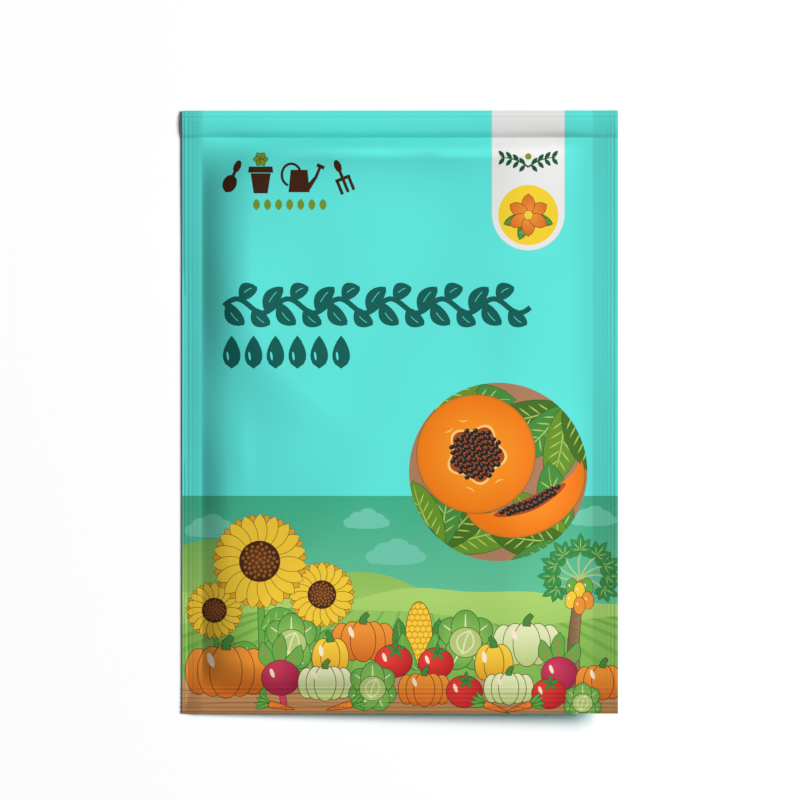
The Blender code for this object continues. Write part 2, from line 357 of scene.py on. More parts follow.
# A panel's print: its outlines from the lowest layer up, with their inks and clips.
class Print:
    def __init__(self):
        self.outlines, self.inks, self.clips = [], [], []

    # Adds a closed outline in one ink, or in two that run into each other from start to end,
    # or outwards over a radius. clip is the number of an outline that it shows within.
    def lay(self, outline, ink, ink2=None, start=None, end=None, radius=None, clip=None):
        self.outlines.append(anticlockwise(outline))
        self.inks.append((inkOf(ink), inkOf(ink2 or ink), start, end, radius))
        self.clips.append(clip)
        return len(self.outlines) - 1

    # The same with a thin darker line round it.
    def lined(self, outline, ink, line="line", width=0.13, clip=None, **shade):
        points = anticlockwise(outline)
        along = np.roll(points, -1, 0) - np.roll(points, 1, 0)
        along /= np.maximum(np.linalg.norm(along, axis=1, keepdims=True), tiny)
        self.lay(points + width * np.stack([along[:, 1], -along[:, 0]], 1), line, clip=clip)
        return self.lay(points, ink, clip=clip, **shade)


# A closed outline with points at most one step apart.
def finely(points, step=0.9):
    points = np.asarray(points, float)
    pieces = []
    for a, b in zip(points, np.roll(points, -1, 0)):
        count = max(1, int(math.ceil(np.linalg.norm(b - a) / step)))
        pieces.append(a + (b - a) * (np.arange(count) / count)[:, None])
    return np.concatenate(pieces)


def rectangle(left, bottom, right, top, step=0.9):
    return finely([(left, bottom), (right, bottom), (right, top), (left, top)], step)


# Even-odd test: a point is inside when a ray to its left crosses the outline an odd number
# of times.
def insideOutline(points, outline):
    inside = np.zeros(len(points), bool)
    low, high = outline.min(0), outline.max(0)
    near = np.flatnonzero(((points > low) & (points < high)).all(1))
    if len(near) == 0:
        return inside
    px, py = points[near, 0][:, None], points[near, 1][:, None]
    (x0, y0), (x1, y1) = outline.T, np.roll(outline, -1, 0).T
    spans = (y0 > py) != (y1 > py)
    steep = np.where(y1 == y0, 1, y1 - y0)
    crossing = x0 + (py - y0) * (x1 - x0) / steep
    inside[near] = ((spans & (px > crossing)).sum(1) % 2).astype(bool)
    return inside


# Triangulates a rectangle of film over a lattice, the rib lines and the given outlines.
def cutSheet(pitch, outlines):
    xs, sealColumns = latticeLines(sachet["halfWidth"], "left", "right", pitch)
    ys, sealRows = latticeLines(sachet["halfHeight"], "bottom", "top", pitch)
    gridX, gridY = np.meshgrid(xs, ys)
    spots = [np.stack([gridX.ravel(), gridY.ravel()], 1)]
    number = np.arange(gridX.size).reshape(gridX.shape)
    edges = [np.stack([number[:-1, sealColumns].ravel(), number[1:, sealColumns].ravel()], 1)]
    edges.append(np.stack([number[sealRows, :-1].ravel(), number[sealRows, 1:].ravel()], 1))
    count = gridX.size
    for outline in outlines:
        ring = count + np.arange(len(outline))
        edges.append(np.stack([ring, np.roll(ring, -1)], 1))
        spots.append(outline)
        count += len(outline)
    flat = [Vector(spot) for spot in np.concatenate(spots).tolist()]
    result = delaunay_2d_cdt(flat, np.concatenate(edges).tolist(), [], 0, nearEnough, False)
    points = np.array([tuple(v) for v in result[0]])
    triangles = np.array(result[2], int)
    a, b, c = (points[triangles[:, k]] for k in range(3))
    area = (b[:, 0] - a[:, 0]) * (c[:, 1] - a[:, 1]) - (b[:, 1] - a[:, 1]) * (c[:, 0] - a[:, 0])
    triangles[area < 0] = triangles[area < 0][:, ::-1]
    middle = (a + b + c) / 3
    kept = (np.abs(area) > tiny) & (np.abs(middle[:, 0]) < sachet["halfWidth"])
    kept &= np.abs(middle[:, 1]) < sachet["halfHeight"]
    triangles = triangles[kept]
    used, triangles = np.unique(triangles, return_inverse=True)
    return points[used], triangles.reshape(-1, 3)


# The packet's edge points in order round the outline.
def rimOrder(points):
    w, h = sachet["halfWidth"], sachet["halfHeight"]
    x, y = points.T
    onRim = (np.abs(np.abs(x) - w) < nearEnough) | (np.abs(np.abs(y) - h) < nearEnough)
    rim = np.flatnonzero(onRim)
    x, y = x[rim], y[rim]
    walk = np.select(
        [y < -h + nearEnough, x > w - nearEnough, y > h - nearEnough],
        [x + w, 2 * w + y + h, 2 * w + 2 * h + w - x],
        4 * w + 2 * h + h - y,
    )
    return rim[np.argsort(walk)]


# Puts vertices, triangles, UVs and colours into a mesh object.
def meshObject(name, vertices, triangles, uvs=None, colours=None, normals=None):
    mesh = bpy.data.meshes.new(name)
    mesh.vertices.add(len(vertices))
    mesh.vertices.foreach_set("co", (np.asarray(vertices) * mm).astype(np.float32).ravel())
    mesh.loops.add(triangles.size)
    mesh.loops.foreach_set("vertex_index", triangles.astype(np.int32).ravel())
    mesh.polygons.add(len(triangles))
    mesh.polygons.foreach_set("loop_start", np.arange(0, triangles.size, 3, dtype=np.int32))
    mesh.update(calc_edges=True)
    mesh.shade_smooth()
    if normals is not None:
        mesh.normals_split_custom_set(normals.reshape(-1, 3).tolist())
    if uvs is not None:
        layer = mesh.uv_layers.new(name="OFBake")
        layer.uv.foreach_set("vector", uvs.astype(np.float32).ravel())
    if colours is not None:
        layer = mesh.color_attributes.new(name="ink", type="FLOAT_COLOR", domain="CORNER")
        rgba = np.concatenate([colours, np.ones((len(colours), 1))], 1)
        layer.data.foreach_set("color", rgba.astype(np.float32).ravel())
    obj = bpy.data.objects.new(name, mesh)
    bpy.context.scene.collection.objects.link(obj)
    return obj


# Colour of every triangle corner: the ink of the topmost outline that holds the triangle.
def cornerInks(points, triangles, sheet):
    middle = points[triangles].mean(1)
    top = np.zeros(len(triangles), int)
    holds = {}
    for number, outline in enumerate(sheet.outlines):
        within = insideOutline(middle, outline)
        if sheet.clips[number] is not None:
            within &= holds[sheet.clips[number]]
        if number in sheet.clips:
            holds[number] = within
        top[within] = number
    corners = points[triangles.ravel()]
    which = np.repeat(top, 3)
    colours = np.zeros((len(corners), 3))
    for number in np.unique(top):
        ink, ink2, start, end, radius = sheet.inks[number]
        chosen = which == number
        if start is None:
            colours[chosen] = ink
            continue
        away = corners[chosen] - start
        if radius:
            t = np.linalg.norm(away, axis=1) / radius
        else:
            run = np.subtract(end, start)
            t = away @ run / (run @ run)
        colours[chosen] = ink + (ink2 - ink) * np.clip(t, 0, 1)[:, None]
    return colours


# Unit normals of a skin: (-dz/dx, -dz/dy, 1), with the slopes taken over a small step.
def skinNormals(skin, x, y, step=0.02):
    across = (skin(x + step, y) - skin(x - step, y)) / (2 * step)
    along = (skin(x, y + step) - skin(x, y - step)) / (2 * step)
    normals = np.stack([-across, -along, np.ones_like(x)], 1)
    return normals / np.linalg.norm(normals, axis=1, keepdims=True)


# Where a film lies on its UV map: the outer skin over most of it, with the inner skin and the
# cut edge, both small, beside it.
uvPlaces = {"outer": (0.86, 1), "small": 0.1, "inner": (0.89, 0.0), "edge": (0.89, 0.2)}


# A film with an outer skin, an inner one a wall's thickness away, and the cut edge between
# them. side is 1 where the outer skin looks up, and -1 where it looks down.
def makeFilm(name, skin, side, pitch, sheet):
    outside, printed = cutSheet(pitch, sheet.outlines[1:])
    rim = rimOrder(outside)
    inside, plain = cutSheet(pitch, [outside[rim]])
    innerRim = rimOrder(inside) + len(outside)
    points = np.concatenate([outside, inside])
    isInner = np.arange(len(points)) >= len(outside)
    x, y = points.T
    z = skin(x, y) - side * sachet["film"] * isInner
    vertices = np.stack([x, y, z], 1)
    after, innerAfter = np.roll(rim, -1), np.roll(innerRim, -1)
    halves = ((after, rim, innerRim), (after, innerRim, innerAfter))
    edge = np.concatenate([np.stack(half, 1) for half in halves])
    faces = np.concatenate([printed, plain[:, ::-1] + len(outside), edge])
    print(name, "triangles", len(faces))
    ink = cornerInks(outside, printed, sheet)
    foil = np.tile(inkOf("foil"), (3 * (len(plain) + len(edge)), 1))
    if side < 0:
        faces = faces[:, ::-1]
        ink = ink.reshape(-1, 3, 3)[:, ::-1].reshape(-1, 3)
    share = np.stack([x / sachet["halfWidth"], y / sachet["halfHeight"]], 1) / 2 + 0.5
    small = share * uvPlaces["small"]
    places = np.where(isInner[:, None], small + uvPlaces["inner"], share * uvPlaces["outer"])
    uvs = places[faces.ravel()]
    edge = faces[-len(edge):]
    uvs[-edge.size:] = small[edge.ravel()] + uvPlaces["edge"]
    outward = np.where(isInner, -side, side)[:, None]
    normals = (skinNormals(skin, x, y) * outward)[faces]
    a, b, c = (vertices[edge[:, k]] for k in range(3))
    cut = np.cross(b - a, c - a)
    normals[-len(edge):] = (cut / np.linalg.norm(cut, axis=1, keepdims=True))[:, None, :]
    return meshObject(name, vertices, faces, uvs, np.concatenate([ink, foil]), normals)


# A Math node as an operator of a socket, or as its reflected form.
def mathsOf(operation, flipped=False):
    def operator(self, other):
        first, second = (other, self) if flipped else (self, other)
        return self.nodes.add("ShaderNodeMath", {"operation": operation}, {0: first, 1: second})
    return operator


# Wraps a shader socket, so that sums on sockets are written as sums.
class Wire:
    def __init__(self, nodes, socket):
        self.nodes, self.socket = nodes, socket

    __add__, __radd__ = mathsOf("ADD"), mathsOf("ADD", True)
    __sub__, __rsub__ = mathsOf("SUBTRACT"), mathsOf("SUBTRACT", True)
    __mul__, __rmul__ = mathsOf("MULTIPLY"), mathsOf("MULTIPLY", True)
    __gt__, __lt__ = mathsOf("GREATER_THAN"), mathsOf("LESS_THAN")
    larger = mathsOf("MAXIMUM")


# A material with its main shader, and the ways to add nodes to it.
class Finish:
    def __init__(self, name):
        self.material = bpy.data.materials.new(name)
        self.material.use_nodes = True
        self.tree = self.material.node_tree
        self.shader = self.tree.nodes["Principled BSDF"]

    # Adds a node: its settings first, then values or links for its inputs, and gives the
    # output that is asked for.
    def add(self, kind, settings=None, inputs=None, output=0):
        node = self.tree.nodes.new(kind)
        for name, value in (settings or {}).items():
            setattr(node, name, value)
        for name, value in (inputs or {}).items():
            self.put(node.inputs[name], value)
        return Wire(self, node.outputs[output])

    def put(self, socket, value):
        if isinstance(value, Wire):
            self.tree.links.new(value.socket, socket)
        else:
            socket.default_value = value

    def surface(self, **inputs):
        for name, value in inputs.items():
            self.put(self.shader.inputs[name.replace("_", " ")], value)

    def mixed(self, factor, a, b, blend="MIX"):
        settings = {"data_type": "RGBA", "blend_type": blend}
        return self.add("ShaderNodeMix", settings, {0: factor, 6: a, 7: b}, 2)

    def noise(self, where, scale, detail):
        inputs = {"Vector": where, "Scale": scale, "Detail": detail}
        return self.add("ShaderNodeTexNoise", inputs=inputs)

    def relief(self, height, strength, distance):
        inputs = {"Height": height, "Strength": strength, "Distance": distance}
        return self.add("ShaderNodeBump", inputs=inputs)


filmFinish = {
    "roughness": 0.45,
    "specular": 0.14,
    "coat": 0.03,
    "coatRoughness": 0.3,
    "sealShadeAndDullness": 0.905,  # painted shade: the pressed seals are drawn darker, for the shade of their ribs, with a little real dullness of the pressed film
    "sealRoughness": 0.06,  # and rougher by this
    "pressed": {"left": 4.1, "right": 4.8, "bottom": 4.2, "top": 5.2},  # how far in they go
    "topShadeRamp": (2.0, 4.2),  # painted shade on the top seal deepens between these distances from its edge
    "topShadeLeast": 0.2,  # share of that painted shade that it has nearer its edge
    "topShadeLine": (0.75, 0.85),  # width and strength of a painted shadow line along its inner side, where the groove is
    "clouds": 60.0,  # scale of the uneven shade
    "cloudShade": 0.05,
    "grain": 900.0,
    "grainRoughness": 0.1,
    "grainBump": 0.04,
    "grainHeight": 0.00005,  # metres
}


# Satin laminate: the printed ink, darkened on the seals by painted shade (with a little real dullness
# of the pressed film), and a fine grain.
def filmMaterial(name):
    finish = Finish(name)
    ink = finish.add("ShaderNodeAttribute", {"attribute_name": "ink"}, output="Color")
    where = finish.add("ShaderNodeTexCoord", output="Object")
    parts = finish.add("ShaderNodeSeparateXYZ", inputs={0: where}).socket.node
    x, y = Wire(finish, parts.outputs["X"]), Wire(finish, parts.outputs["Y"])
    grain = finish.noise(where, filmFinish["grain"], 3.0)
    cloudy = finish.noise(where, filmFinish["clouds"], 2.0)
    w, h, pressed = sachet["halfWidth"], sachet["halfHeight"], filmFinish["pressed"]
    left, right = (pressed["left"] - w) * mm, (w - pressed["right"]) * mm
    bottom, top = (pressed["bottom"] - h) * mm, (h - pressed["top"]) * mm
    # Painted shade on the top seal: it deepens from its edge towards the inner line and is darkest in a
    # line along it, for the groove's shadow.
    start, end = (h * mm - width * mm for width in filmFinish["topShadeRamp"])
    ramp = finish.add("ShaderNodeMapRange", inputs={"Value": y, "From Min": start, "From Max": end})
    lineWidth, lineStrength = filmFinish["topShadeLine"]
    least = filmFinish["topShadeLeast"]
    topSealShade = least + (1 - least) * ramp + lineStrength * (y < top + lineWidth * mm)
    onSeal = (x > right).larger(x < left).larger(((y > top) * topSealShade).larger(y < bottom))
    clouds = (cloudy - 0.5) * filmFinish["cloudShade"]
    # The seals' painted shade, and random clouds of tone, darken the ink.
    shade = 1 - onSeal * (1 - filmFinish["sealShadeAndDullness"]) - clouds
    grey = finish.add("ShaderNodeCombineXYZ", inputs={0: shade, 1: shade, 2: shade})
    colour = finish.mixed(1.0, ink, grey, "MULTIPLY")
    rough = filmFinish["roughness"] + (grain - 0.5) * filmFinish["grainRoughness"]
    rough = rough + onSeal * filmFinish["sealRoughness"]
    bumpy = finish.relief(grain, filmFinish["grainBump"], filmFinish["grainHeight"])
    finish.surface(Base_Color=colour, Roughness=rough, Normal=bumpy)
    finish.surface(Coat_Weight=filmFinish["coat"], Coat_Roughness=filmFinish["coatRoughness"])
    finish.surface(Specular_IOR_Level=filmFinish["specular"])
    return finish.material


# Where the print's parts lie, in millimetres from the middle of the front.
layout = {
    "bandTop": -15.9,
    "window": (18.6, -11.35, 16.9),  # middle and radius
    "tab": {"middle": 24.3, "halfWidth": 6.83, "end": 37.5},
    "badge": (24.3, 37.3, 5.7),
    "sprigFoot": 47.6,
    "frieze": {"left": -33.4, "right": 25.0, "middle": 20.1, "wave": 9.74, "swing": 1.35},
    "drops": {"left": -31.9, "step": 4.15, "count": 6, "middle": 11.2},
    "tools": {"places": (-31.7, -26.4, -18.9, -11.0), "middle": 44.6, "size": 5.3},
    "kernels": {"left": -27.2, "step": 2.1, "count": 7, "foot": 38.2, "height": 2.2},
}


# Turned by an angle in degrees, scaled, then moved to a place.
def turned(points, angle, place=(0, 0), size=1):
    c, s = math.cos(math.radians(angle)), math.sin(math.radians(angle))
    return np.asarray(points, float) @ np.array([[c, s], [-s, c]]) * size + place


# An ellipse: (rx cos t, ry sin t).
def oval(x, y, rx, ry=None, angle=0):
    ry = ry or rx
    count = int(np.clip(6.3 * max(rx, ry) / 0.6, 10, 110))
    t = np.linspace(0, 2 * math.pi, count, endpoint=False)
    return turned(np.stack([rx * np.cos(t), ry * np.sin(t)], 1), angle, (x, y))


# A smooth line through points: a Catmull-Rom cubic between each pair.
def flowing(points, closed=False, fine=6):
    p = np.asarray(points, float)
    if closed:
        four = (np.roll(p, 1, 0), p, np.roll(p, -1, 0), np.roll(p, -2, 0))
    else:
        padded = np.concatenate([[2 * p[0] - p[1]], p, [2 * p[-1] - p[-2]]])
        four = (padded[:-3], padded[1:-2], padded[2:-1], padded[3:])
    p0, p1, p2, p3 = (q[:, None, :] for q in four)
    t = (np.arange(fine) / fine)[None, :, None]
    cubic = 2 * p0 - 5 * p1 + 4 * p2 - p3 + t * (3 * (p1 - p2) + p3 - p0)
    curve = (p1 + 0.5 * t * (p2 - p0 + t * cubic)).reshape(-1, 2)
    return curve if closed else np.concatenate([curve, p[-1:]])


# A band along a line, of one width or a width at each point.
def ribbon(line, widths):
    line = np.asarray(line, float)
    along = np.gradient(line, axis=0)
    along /= np.linalg.norm(along, axis=1, keepdims=True)
    half = np.broadcast_to(widths, len(line))[:, None] / 2
    across = half * np.stack([-along[:, 1], along[:, 0]], 1)
    return np.concatenate([line + across, (line - across)[::-1]])


# Points along a midrib from base to tip that bends sideways.
def midrib(base, tip, bend, t):
    base, run = np.array(base, float), np.subtract(tip, base)
    side = np.array([-run[1], run[0]]) / np.linalg.norm(run)
    t = np.asarray(t, float)[:, None]
    return base + run * t + side * bend * 4 * t * (1 - t), side


# A leaf: its width goes by sin(pi t)^fullness along the midrib.
def leaf(base, tip, width, bend=0, fullness=0.8, fine=8):
    t = np.linspace(0, 1, fine)
    middle, side = midrib(base, tip, bend, t)
    half = side * width / 2 * (np.abs(np.sin(math.pi * t)) ** fullness)[:, None]
    return np.concatenate([middle + half, (middle - half)[-2:0:-1]])


# A leaf with a dark edge, a pale midrib and pairs of side veins.
def veinedLeaf(sheet, base, tip, width, ink="leaf", vein="vein", bend=0, pairs=3, clip=None):
    sheet.lined(leaf(base, tip, width, bend, 0.7, 10), ink, "greenLine", 0.12, clip)
    spine, side = midrib(base, tip, bend, np.linspace(0.02, 0.93, 8))
    sheet.lay(ribbon(spine, np.linspace(0.3, 0.08, 8) * width / 5), vein, clip=clip)
    run = np.subtract(tip, base)
    for start in np.linspace(0.18, 0.66, pairs):
        spot, _ = midrib(base, tip, bend, [start])
        for way in (-1, 1):
            reach = width * 0.36 * math.sin(math.pi * (start + 0.1)) ** 0.7
            end = spot[0] + run * 0.13 + side * way * reach
            sheet.lay(leaf(spot[0], end, 0.045 * width, 0, 0.5, 4), vein, clip=clip)


# A ring of petals.
def petalRing(sheet, x, y, inner, outer, width, count, ink, line="line", first=0, **shade):
    for angle in first + np.arange(count) * 360 / count:
        petal = leaf((inner, 0), (outer, 0), width, 0, 0.62)
        sheet.lined(turned(petal, angle, (x, y)), ink, line, 0.1, **shade)


# Spots spread evenly over a disc by the golden angle: r = radius sqrt(k / count).
def spread(count, radius):
    k = np.arange(count) + 0.5
    r, angle = radius * np.sqrt(k / count), k * math.radians(137.508)
    return np.stack([r * np.cos(angle), r * np.sin(angle)], 1)


# Ground up to a wavy line, over the whole width.
def hill(sheet, level, waves, ink, ink2, depth):
    x = np.arange(-44, 45, 1.0)
    outline = np.concatenate([np.stack([x, level + waving(x, waves)], 1), [(44, -60), (-44, -60)]])
    return sheet.lay(outline, ink, ink2, (0, level), (0, level - depth))


# Five puffs over a long low one.
def cloud(sheet, x, y, size):
    puffs = ((-1.5, 0, 0.62), (-0.75, 0.42, 0.8), (0.2, 0.62, 0.95), (1.1, 0.3, 0.78), (1.8, 0, 0.5))
    for dx, dy, r in puffs:
        sheet.lay(oval(x + size * dx, y + size * dy, size * r, size * r * 0.8), "cloud")
    sheet.lay(oval(x + 0.1 * size, y - 0.1 * size, 2.2 * size, 0.48 * size), "cloud")


# A bent stalk with two leaves, two rings of petals, and a disc set with florets.
def sunflower(sheet, x, y, radius, foot):
    stalk = flowing([foot, (foot[0] * 0.6 + x * 0.4, (foot[1] + y) / 2), (x, y)])
    sheet.lined(ribbon(stalk, 0.12 * radius), "leaf", "greenLine")
    for share, way in ((0.3, -1), (0.5, 1)):
        base = stalk[int(share * (len(stalk) - 1))]
        tip = base + (way * 0.75 * radius, 0.28 * radius)
        veinedLeaf(sheet, base, tip, 0.5 * radius, bend=way * 0.6)
    for first, ink in ((5, "petalDeep"), (14, "petal")):
        petalRing(sheet, x, y, 0.3 * radius, radius, 0.3 * radius, 19, ink, first=first)
    middle = 0.42 * radius
    sheet.lined(oval(x, y, middle), "disc", ink2="discDeep", start=(x, y), radius=middle)
    for dx, dy in spread(46, middle * 0.9):
        sheet.lay(oval(x + dx, y + dy, 0.034 * radius), "discDot")


# A small slanting highlight.
def glint(sheet, x, y, size, angle=20):
    sheet.lay(oval(x, y, 0.08 * size, 0.2 * size, angle), "glint")


# A fruit of lobes, darker below, with a stalk. Each lobe is an ellipse's middle, radii and
# angle, and all measures are shares of the size.
def lobedFruit(sheet, x, y, size, ink, lobes, top, bottom, stalk, widths, edge):
    shade = {"ink2": ink + "Deep", "start": (x, y + top * size), "end": (x, y - bottom * size)}
    for dx, dy, rx, ry, angle in lobes:
        lobe = oval(x + dx * size, y + dy * size, rx * size, ry * size, angle)
        sheet.lined(lobe, ink, **shade)
    line = flowing(stalk) * size + (x, y)
    sheet.lined(ribbon(line, np.linspace(*widths, len(line)) * size), "leafDeep", edge)


# A ribbed gourd: lobes from the outermost to the middle one.
def gourd(sheet, x, y, size, ink="pumpkin"):
    lobes = [(0.36 * k, 0, 0.42 - 0.04 * abs(k), 0.7 - 0.05 * abs(k), 0) for k in (-2, 2, -1, 1, 0)]
    stalk = [(0, 0.58), (0.02, 0.76), (0.16, 0.92)]
    lobedFruit(sheet, x, y, size, ink, lobes, 0.4, 0.7, stalk, (0.24, 0.14), "line")
    glint(sheet, x - 0.4 * size, y + 0.3 * size, size)


def paleGourd(sheet, x, y, size):
    gourd(sheet, x, y, size, "pale")


# A round fruit, darker away from its lit upper left.
def roundFruit(sheet, x, y, size, height, ink, off):
    shade = {"ink2": ink + "Deep", "start": (x - off * size, y + off * size), "radius": 1.5 * size}
    sheet.lined(oval(x, y, size, height * size), ink, **shade)


# A round fruit with a star of sepals.
def tomato(sheet, x, y, size):
    roundFruit(sheet, x, y, size, 0.88, "tomato", 0.35)
    top = (x + 0.1 * size, y + 0.62 * size)
    petalRing(sheet, *top, 0.02, 0.5 * size, 0.16 * size, 5, "leafDeep", "greenLine", 18)
    glint(sheet, x - 0.5 * size, y + 0.2 * size, 1.3 * size)


# Outer leaves with a rib each, round a heart with three veins.
def cabbage(sheet, x, y, size):
    shade = {"ink2": "cabbageDeep", "start": (x, y), "radius": 1.15 * size}
    for angle in (-24, 204, 36, 144, 90, -62, 242):
        away, tip = (turned([(reach * size, 0)], angle, (x, y))[0] for reach in (0.42, 0.95))
        sheet.lined(oval(*away, 0.66 * size, 0.5 * size, angle), "cabbage", "greenLine", **shade)
        rib, _ = midrib((x, y), tip, 0, np.linspace(0, 1, 5))
        sheet.lay(ribbon(rib, np.linspace(0.1, 0.03, 5) * size), "pale")
    heart = oval(x, y - 0.05 * size, 0.56 * size, 0.52 * size)
    sheet.lined(heart, "paleDeep", "greenLine")
    base, tip = (x - 0.1 * size, y - 0.45 * size), (x + 0.16 * size, y + 0.36 * size)
    for bend in (-0.26, 0.05, 0.34):
        rib, _ = midrib(base, tip, bend * size, np.linspace(0, 1, 6))
        sheet.lay(ribbon(rib, 0.05 * size), "pale")


# A tapering root with four plumes and short ticks across, turned by an angle.
def carrot(sheet, x, y, size, angle):
    for lean in (-34, -12, 10, 30):
        tip = turned([(0, 1.0)], lean)[0]
        plume = turned(leaf((0, 0), tip, 0.22), angle, (x, y), size)
        sheet.lined(plume, "leaf", "greenLine")
    half = [(0, 0.08), (0.2, 0.0), (0.19, -0.3), (0.12, -0.9), (0.04, -1.45), (0, -1.6)]
    outline = half + [(-px, py) for px, py in half[-2:0:-1]]
    root = turned(flowing(outline, True, 4), angle, (x, y), size)
    sheet.lined(root, "carrot", ink2="pumpkinDeep", start=(x, y), radius=1.8 * size)
    for px, py in ((-0.12, -0.25), (0.1, -0.48), (-0.08, -0.75), (0.05, -1.0)):
        tick = turned([(px - 0.05, py), (px + 0.05, py - 0.01)], angle, (x, y), size)
        sheet.lay(ribbon(tick, 0.035 * size), "line")


# Two side lobes with a third between them.
def pepper(sheet, x, y, size):
    lobes = ((-0.34, 0, 0.4, 0.7, -6), (0.34, 0, 0.4, 0.7, 6), (0, -0.04, 0.38, 0.74, 0))
    stalk = [(0, 0.58), (-0.03, 0.8), (-0.16, 0.98)]
    lobedFruit(sheet, x, y, size, "pepper", lobes, 0.5, 0.8, stalk, (0.3, 0.12), "greenLine")
    glint(sheet, x - 0.38 * size, y + 0.2 * size, 1.2 * size, 8)


# A round root with a tail below and three leaves above.
def beet(sheet, x, y, size):
    for dx, dy, bend in ((-1.0, 1.9, 0.3), (1.05, 1.75, -0.3), (0.05, 2.3, 0.1)):
        tip = (x + dx * size, y + dy * size)
        veinedLeaf(sheet, (x, y + 0.6 * size), tip, 0.75 * size, vein="beet", bend=bend * size)
    root = leaf((x, y - 0.6 * size), (x + 0.25 * size, y - 1.7 * size), 0.3 * size)
    sheet.lined(root, "beet")
    roundFruit(sheet, x, y, size, 0.92, "beet", 0.3)
    glint(sheet, x - 0.45 * size, y + 0.25 * size, 1.3 * size)


# A cob with rows of kernels between two pairs of husk leaves.
def corn(sheet, x, y, size):
    for way in (-1, 1):
        tip = (x + way * 0.62 * size, y + 0.5 * size)
        husk = {"ink": "leafDeep", "bend": -way * 0.2 * size, "pairs": 1}
        veinedLeaf(sheet, (x, y - size), tip, 0.55 * size, **husk)
    cob = sheet.lined(oval(x, y, 0.4 * size, size), "pepperDeep")
    for row in range(11):
        for column in range(-2, 3):
            kx = x + (column + 0.5 * (row % 2) - 0.25) * 0.17 * size
            sheet.lay(oval(kx, y + (row - 5) * 0.175 * size, 0.078 * size), "pepper", clip=cob)
    for way in (-1, 1):
        base, tip = (x + way * 0.03 * size, y - 1.1 * size), (x + way * 0.5 * size, y + 0.06 * size)
        veinedLeaf(sheet, base, tip, 0.46 * size, bend=-way * 0.16 * size, pairs=1)


# A ringed trunk, lobed leaves on long stalks round its top, and fruit hanging below them.
def papayaTree(sheet, x, foot, top):
    bends = ((0.9, 0), (1.4, 0.4), (0.7, 0.75), (0, 1))
    trunk = flowing([(x - dx, foot * (1 - rise) + top * rise) for dx, rise in bends])
    widths = np.linspace(2.5, 1.4, len(trunk))
    shade = {"ink2": "trunkDeep", "start": (x + 0.6, 0), "end": (x - 2.4, 0)}
    sheet.lined(ribbon(trunk, widths), "trunk", **shade)
    for k in range(1, len(trunk) - 2):
        scar = trunk[k] + np.array([(-0.5, 0.1), (0, -0.12), (0.5, 0.1)]) * widths[k] * 0.6
        sheet.lay(ribbon(scar, 0.14), "trunkDeep")
    for angle in (-28, 208, 0, 180, 24, 156, 52, 128, 90):
        hub = turned([(4.9, 0)], angle, (x, top + 0.4))[0]
        stalk, _ = midrib((x, top), hub, 0.4, np.linspace(0, 1, 5))
        sheet.lay(ribbon(stalk, 0.3), "paleDeep")
        for lean in (120, -120, 82, -82, 42, -42, 0):
            tip = turned([(3.3 - abs(lean) * 0.011, 0)], angle + lean, hub)[0]
            sheet.lined(leaf(hub, tip, 1.25, 0, 0.9, 6), "palm", "palmLine", 0.07)
        for lean in (82, -82, 42, -42, 0):
            tip = turned([(2.3 - abs(lean) * 0.009, 0)], angle + lean, hub)[0]
            sheet.lay(leaf(hub, tip, 0.16, 0, 0.5, 4), "vein")
    fruits = (
        (-1.5, -1.7, "leaf"), (1.5, -1.6, "leaf"), (0, -2.4, "pepper"),
        (-1.6, -4.1, "pepper"), (1.6, -4.2, "pumpkin"), (0, -5.2, "pumpkin"),
    )
    for dx, dy, ink in fruits:
        sheet.lined(oval(x + dx - 0.2, top + dy, 1.05, 1.65, dx * 6), ink, width=0.1)
        glint(sheet, x + dx - 0.6, top + dy + 0.3, 1.6)


# One cut papaya piece's seeds: dark dots with a pale glint.
def seedDots(sheet, spots, size, clip):
    for x, y in spots:
        sheet.lay(oval(x, y, size, size * 0.86, 30), "seed", clip=clip)
        sheet.lay(oval(x - 0.3 * size, y + 0.32 * size, 0.26 * size), "seedGlint", clip=clip)


# A round slice of papaya, cut across: skin, flesh, and a cavity with five lobes full of seeds.
def papayaSlice(sheet, x, y, radius, clip):
    sheet.lined(oval(x, y, radius), "skin", "cavity", 0.12, clip)
    flesh = {"ink2": "fleshDeep", "start": (x, y), "radius": radius}
    sheet.lay(oval(x, y, 0.965 * radius), "flesh", clip=clip, **flesh)
    t = np.linspace(0, 2 * math.pi, 60, endpoint=False)
    for size, ink in ((0.47, "pith"), (0.43, "cavity")):
        r = radius * size * (1 + 0.13 * np.cos(5 * t + 0.6))
        sheet.lay(np.stack([x + r * np.cos(t), y + r * np.sin(t)], 1), ink, clip=clip)
    seedDots(sheet, spread(76, 0.43 * radius) + (x, y), 0.049 * radius, clip)
    for angle in (100, 128, 250, 300):
        streak = leaf((0.6, 0.02), (0.62, 0.2), 0.02, 0.03)
        sheet.lay(turned(streak, angle, (x, y), radius), "pith", clip=clip)


